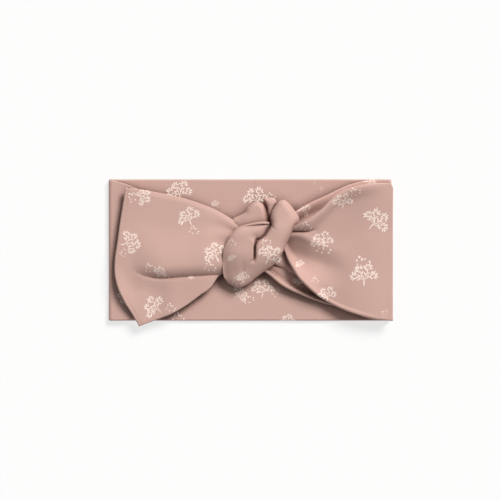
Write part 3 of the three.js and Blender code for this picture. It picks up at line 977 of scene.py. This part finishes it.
def closed_curve(points, count):
    """A smooth closed curve through 3-D points, evenly enough spaced."""
    points = np.array(points, float)
    n = len(points)
    chord = np.linalg.norm(np.roll(points, -1, axis=0) - points, axis=1) ** 0.5
    knots = np.concatenate([[0], np.cumsum(chord)])
    samples = np.linspace(0, knots[-1], count, endpoint=False)
    out = np.zeros((count, 3))
    for k, t in enumerate(samples):
        i = min(np.searchsorted(knots, t, side="right") - 1, n - 1)
        p = [points[(i + d) % n] for d in (-1, 0, 1, 2)]
        gaps = [chord[(i + d) % n] for d in (-1, 0, 1)]
        u = (t - knots[i]) / gaps[1]
        before, here, after = ((p[j + 1] - p[j]) / gaps[j] for j in range(3))
        m1 = gaps[1] * (before - (p[2] - p[0]) / (gaps[0] + gaps[1]) + here)
        m2 = gaps[1] * (here - (p[3] - p[1]) / (gaps[1] + gaps[2]) + after)
        u2, u3 = u * u, u * u * u
        out[k] = (2 * u3 - 3 * u2 + 1) * p[1] + (3 * u2 - 2 * u3) * p[2]
        out[k] += (u3 - 2 * u2 + u) * m1 + (u3 - u2) * m2
    return out


def lobe_faces(clockwise):
    """Faces of a lobe: rings of its upper side from the rim inwards, of its lower side without the rim,
    then the point at its crown and the one under it."""
    around, rings = LOBE_AROUND, LOBE_RINGS
    crown = around * (2 * rings - 1)
    upper = [[row * around + k for k in range(around)] for row in range(rings)]
    lower = [[(rings + row) * around + k for k in range(around)] for row in range(rings - 1)]
    loops = lower[::-1] + upper
    faces = []
    for below, above in zip(loops[:-1], loops[1:]):
        for k in range(around):
            after = (k + 1) % around
            faces.append((below[k], below[after], above[after], above[k]))
    for k in range(around):
        after = (k + 1) % around
        faces.append((loops[-1][k], loops[-1][after], crown))
        faces.append((loops[0][after], loops[0][k], crown + 1))
    return [face[::-1] for face in faces] if clockwise else faces


def pillow(name, rim, centre, puff, rounding, surface=None, material=KNOT_CLOTH, replaces=()):
    """A puffed lobe of folded cloth: a closed rim in space, rounded off over some distance from it.
    puff is how far it swells above and below. A lobe with a surface of its own swells up to that instead,
    and rounding may then be a function of place too."""
    rim = closed_curve(rim, LOBE_AROUND)
    centre = np.array(centre, float)
    shares = np.sin(np.linspace(0, math.pi / 2, LOBE_RINGS + 1))[1:, None, None]
    plan = mix(centre[:2], rim[None, :, :2], shares)
    level = mix(centre[2], rim[None, :, 2], shares[..., 0] ** 1.8)
    x, y = plan[..., 0], plan[..., 1]
    outline = np.concatenate([rim[:, :2], rim[:1, :2]])
    over = rounding(x, y) if callable(rounding) else rounding
    inset = np.minimum(path_distance(x, y, outline)[0] / over, 1.0)
    inset[-1] = 0
    swell = np.sqrt(np.maximum(1 - (1 - inset) ** 2, 0))
    if surface is None:
        crown_z = centre[2] + puff[0]
        top = level + puff[0] * swell
    else:
        crown_z = surface(centre[0], centre[1])
        top = mix(level, surface(x, y), swell)
    bottom = level - puff[1] * swell
    upper = np.dstack([plan, top])[::-1].reshape(-1, 3)
    lower = np.dstack([plan, bottom])[:-1][::-1].reshape(-1, 3)
    crown = [centre[0], centre[1], crown_z]
    base = [centre[0], centre[1], centre[2] - puff[1]]
    points = np.concatenate([upper, lower, [crown], [base]])
    turned = np.sum(rim[:, 0] * np.roll(rim[:, 1], -1) - rim[:, 1] * np.roll(rim[:, 0], -1))
    piece = build_mesh(name, points, lobe_faces(turned < 0), points[:, :2], None, material)
    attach(piece, "knot")
    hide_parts(*replaces)


def rolled_hem(name, path, radius):
    """A narrow roll of cloth along a path, tapering at both ends."""
    around, rings = HEM_AROUND, HEM_RINGS
    path = np.array(path, float)
    spread = np.linspace(0, 1, len(path))
    axes = [through(*zip(spread, path[:, k])) for k in range(3)]
    t = np.linspace(0, 1, rings)
    centre = np.stack([axis(t) for axis in axes], axis=-1)
    along = unit(np.gradient(centre, axis=0))
    across = unit(np.cross([0, 0, 1], along))
    out = np.cross(along, across)
    angle = np.linspace(0, 2 * math.pi, around, endpoint=False)
    size = radius * np.sqrt(np.maximum(1 - (2 * t - 1) ** 8, 0.0004))
    circle = across[:, None] * np.cos(angle)[:, None] + out[:, None] * np.sin(angle)[:, None]
    points = (centre[:, None] + circle * size[:, None, None]).reshape(-1, 3)
    faces = []
    for i in range(rings - 1):
        for j in range(around):
            a, b = i * around + j, i * around + (j + 1) % around
            faces.append((a, a + around, b + around, b))
    faces.append(tuple(range(around)))
    faces.append(tuple(range((rings - 1) * around, rings * around))[::-1])
    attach(build_mesh(name, points, faces, points[:, :2], None, KNOT_CLOTH), "knot")


WRAP_RIPPLES = ripples(23, 13)
CREASE = [(12.2, 16), (9, 9.6), (4, 6), (2.6, 3), (2.4, -9)]
WRAP_AXIS = through((-24, -5), (-14, 2), (-6, 6.5), (5, 13), (18, 20), (32, 22.5))


def front_height(y):
    """How high the front of the knot stands; both wraps share it, so that they run together low down."""
    return 18.5 - 6.4 * smooth((-1 - y) / 22)


def wrap_left_surface(x, y):
    aside = np.clip((-3 - x) / 14, 0, 1)
    distance, where = path_distance(x, y, [(-2, -20), (-5, -8), (-6, 4)])
    pleat = -0.3 * bell(distance / 2.2) * smooth((1 - where) / 0.6)
    return front_height(y) - 2.8 * aside**2 + pleat + 0.14 * WRAP_RIPPLES(x, y)


def wrap_left_rounding(x, y):
    """A tight fold at the crease, a soft one everywhere else."""
    by_crease = 0.9 + 5.4 * smooth((-5 - y) / 6) + 5.6 * smooth((y - 4) / 5)
    return mix(5.2, by_crease, smooth((x + 11) / 10))


def wrap_right_surface(x, y):
    """A fat roll of cloth that dips into the crease; the crease fades out low down."""
    aside = np.clip((x - WRAP_AXIS(y)) / 12, 0, 1)
    distance, _ = path_distance(x, y, CREASE)
    dip = (2.6 * bell(distance / 1.0) + 0.5 * bell(distance / 4)) * smooth((y + 9.5) / 6)
    lobe = 1.2 * smooth((y - 12) / 14)
    distance, where = path_distance(x, y, [(12.6, 16.2), (14.6, 14), (17, 11.6)])
    pinch = 0.6 * bell(distance / 0.7) * smooth((1 - where) / 0.8)
    tucked = 2.2 * smooth((1.6 - x) / 3) * smooth((y + 9) / 6)
    return front_height(y) - 3.6 * aside**2 - dip - lobe - pinch - tucked + 0.14 * WRAP_RIPPLES(x, y)


def loop_surface(x, y):
    distance, _ = path_distance(x, y, [(-6, 20), (1, 23), (6, 28)])
    return 13.6 - 3.2 * smooth((3 - x) / 15) - 0.3 * bell(distance / 2.0) + 0.14 * WRAP_RIPPLES(y, x)


def make_core():
    """The hidden middle of the knot, behind its wraps."""
    rim = [(-10, -4, 8), (-6, 12, 8), (6, 18, 8), (17, 10, 8), (17, -4, 8), (4, -12, 8)]
    pillow("knot_core", rim, (4, 2, 8), (3.6, 3), 6, material=SCATTER_CLOTH, replaces=["knot_core"])


def make_tuck():
    rim = [
        (8.6, 32.8, 7.4), (12.2, 33.3, 7.6), (15.4, 32.9, 8), (17.2, 29.8, 8.4), (15.6, 25, 7.8),
        (13, 19, 6.8), (10.6, 20, 6.6), (10, 26, 7),
    ]
    pillow("knot_tuck", rim, (13.6, 29, 9), (2.6, 2.2), 2.4, replaces=["knot_tuck"])


def make_top_loop():
    rim = [
        (-11.4, 19.2, 6.6), (-6.7, 21.9, 6.6), (-3.6, 23.9, 6.6), (-1.4, 27.1, 6.8), (1.8, 29.9, 7),
        (5.2, 30.9, 7.2), (8.7, 29, 7.2), (10.6, 25.2, 7.4), (11.8, 19.5, 8), (10.8, 13, 9), (0, 10, 8),
        (-10, 13, 6.6),
    ]
    loop, middle = "knot_top_loop", (2.6, 20.5, 9.6)
    pillow(loop, rim, middle, (4.6, 3.6), 4.0, loop_surface, replaces=[loop])


def make_under_fold():
    """The thin fold that shows under the right wrap; no CAD piece stands for it."""
    rim = [
        (10, -8, 7.4), (18, -1, 9.6), (24, -3, 7.6), (27, -10, 6.8), (30.5, -16, 6.2), (26, -14.6, 5.4),
        (20, -11.4, 5.2), (14, -9, 6),
    ]
    pillow("knot_under_fold", rim, (21, -7, 7), (0.5, 0.8), 1.2)


def make_wrap_right():
    rim = [
        (13.4, 24.4, 9.4), (16.6, 29, 10), (18.8, 31.1, 11), (21.6, 31.7, 11), (24.6, 29.6, 11),
        (28.4, 24.8, 11.2), (31.0, 20.4, 11.4), (30.8, 16.6, 11.4), (27.6, 10.6, 11.2), (23.4, 4.6, 11),
        (20.2, -2.6, 10.4), (15.6, -8.8, 9.4), (8.2, -14.2, 8.6), (1, -19.2, 7.8), (-5, -20, 7.6),
        (-8, -14, 9), (-6, -6, 10), (-1.6, 2, 11.4), (3, 8, 12.8), (8.6, 11, 13), (12.4, 16, 10.6),
        (12.3, 20.2, 9.4),
    ]
    node = "knot_wrap_right"
    pillow(node, rim, (17, 8, 13.0), (4.8, 4.6), 5.5, wrap_right_surface, replaces=[node])


def make_wrap_left():
    rim = [
        (-6.4, 14.9, 12.6), (0, 16.4, 13), (7, 17.2, 13.6), (12.2, 16.4, 13.8), (10.8, 12.4, 13),
        (9, 9.2, 13), (6.6, 7.1, 13), (4.2, 6.4, 13.4), (2.9, 3.6, 13.6), (2.5, -5, 13.4),
        (2.6, -7.6, 12), (4.3, -11.4, 9.6), (4.4, -15.6, 8), (0.8, -20.2, 7.6), (-6.6, -23.7, 7.2),
        (-12.9, -21.6, 7.8), (-16.2, -17.6, 10.4), (-17.1, -12, 13), (-17.0, -1, 14), (-15, 5, 14),
        (-11, 11.2, 13),
    ]
    node = "knot_wrap_left"
    pillow(node, rim, (-4, 6, 14.4), (4.6, 4.0), wrap_left_rounding, wrap_left_surface, replaces=[node])


def make_rolled_edge():
    """The rolled edge along the top of the left wrap; no CAD piece stands for it."""
    path = [
        (-9.0, 12.4, 12.4), (-5.6, 14.4, 14.2), (1.9, 16.2, 16.2), (7, 17.0, 17.0), (12.4, 17.0, 16.6)
    ]
    rolled_hem("knot_rolled_edge", path, 0.95)


# ------------------------------ label, studio


def make_label():
    """A small woven label sewn to the inside of the back."""
    low, high = box_mm("care_label")
    bottom = THICK + LABEL_GAP
    grid = [
        (x, y, z)
        for z in (bottom, bottom + high.z - low.z)
        for x in np.linspace(low.x, high.x, LABEL_ROWS)
        for y in np.linspace(low.y, high.y, LABEL_COLUMNS)
    ]
    points = np.array(grid)
    faces = slab_faces(LABEL_ROWS, LABEL_COLUMNS, True)
    piece = build_mesh("care_label", points, faces, points[:, :2], None, satin())
    bend_back(piece, LEFT)
    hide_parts("care_label")


def place_in_scene(name, data):
    piece = bpy.data.objects.new(name, data)
    bpy.context.scene.collection.objects.link(piece)
    return piece


def make_floor():
    mesh = bpy.data.meshes.new("floor")
    corners = [(-1, -1), (1, -1), (1, 1), (-1, 1)]
    points = [(x * FLOOR_HALF_SIZE, y * FLOOR_HALF_SIZE, FLOOR_LEVEL) for x, y in corners]
    mesh.from_pydata(points, [], [(0, 1, 2, 3)])
    mesh.materials.append(paper())
    place_in_scene("floor", mesh)


def make_sky():
    """A dim even sky that lights the cloth, and a plain white one behind it."""
    world = bpy.data.worlds.new("studio")
    bpy.context.scene.world = world
    world.use_nodes = True
    tree = world.node_tree
    sky = fill(tree, tree.nodes["Background"], Color=SKY_COLOUR, Strength=SKY_STRENGTH)
    backdrop = new_node(tree, "Background", Color=(1, 1, 1, 1))
    choice = tree.nodes.new("ShaderNodeMixShader")
    seen = tree.nodes.new("ShaderNodeLightPath").outputs["Is Camera Ray"]
    link(tree, seen, choice.inputs[0])
    link(tree, sky.outputs[0], choice.inputs[1])
    link(tree, backdrop.outputs[0], choice.inputs[2])
    link(tree, choice.outputs[0], tree.nodes["World Output"].inputs[0])


def make_key_light():
    lamp = bpy.data.lights.new("key", "SUN")
    lamp.energy = KEY_ENERGY
    lamp.angle = math.radians(KEY_ANGLE)
    lamp.color = KEY_COLOUR
    key = place_in_scene("key", lamp)
    key.rotation_euler = KEY_FROM.to_track_quat("Z", "Y").to_euler()


def make_camera():
    """Straight above, as far off as a long lens needs to keep the edges square."""
    camera = bpy.data.cameras.new("camera")
    camera.lens = LENS
    camera.sensor_width = SENSOR
    camera.clip_end = 20
    view = place_in_scene("camera", camera)
    view.location = (0, 0, VIEW_WIDTH * LENS / SENSOR)
    bpy.context.scene.camera = view


for band_side in (LEFT, RIGHT):
    make_back(band_side)
    make_front(band_side)
    make_tail(band_side)
make_core()
make_tuck()
make_top_loop()
make_under_fold()
make_wrap_right()
make_wrap_left()
make_rolled_edge()
make_label()
make_floor()
make_sky()
make_key_light()
make_camera()
bpy.context.scene.view_settings.view_transform = "Standard"
bpy.context.scene.view_settings.look = "None"
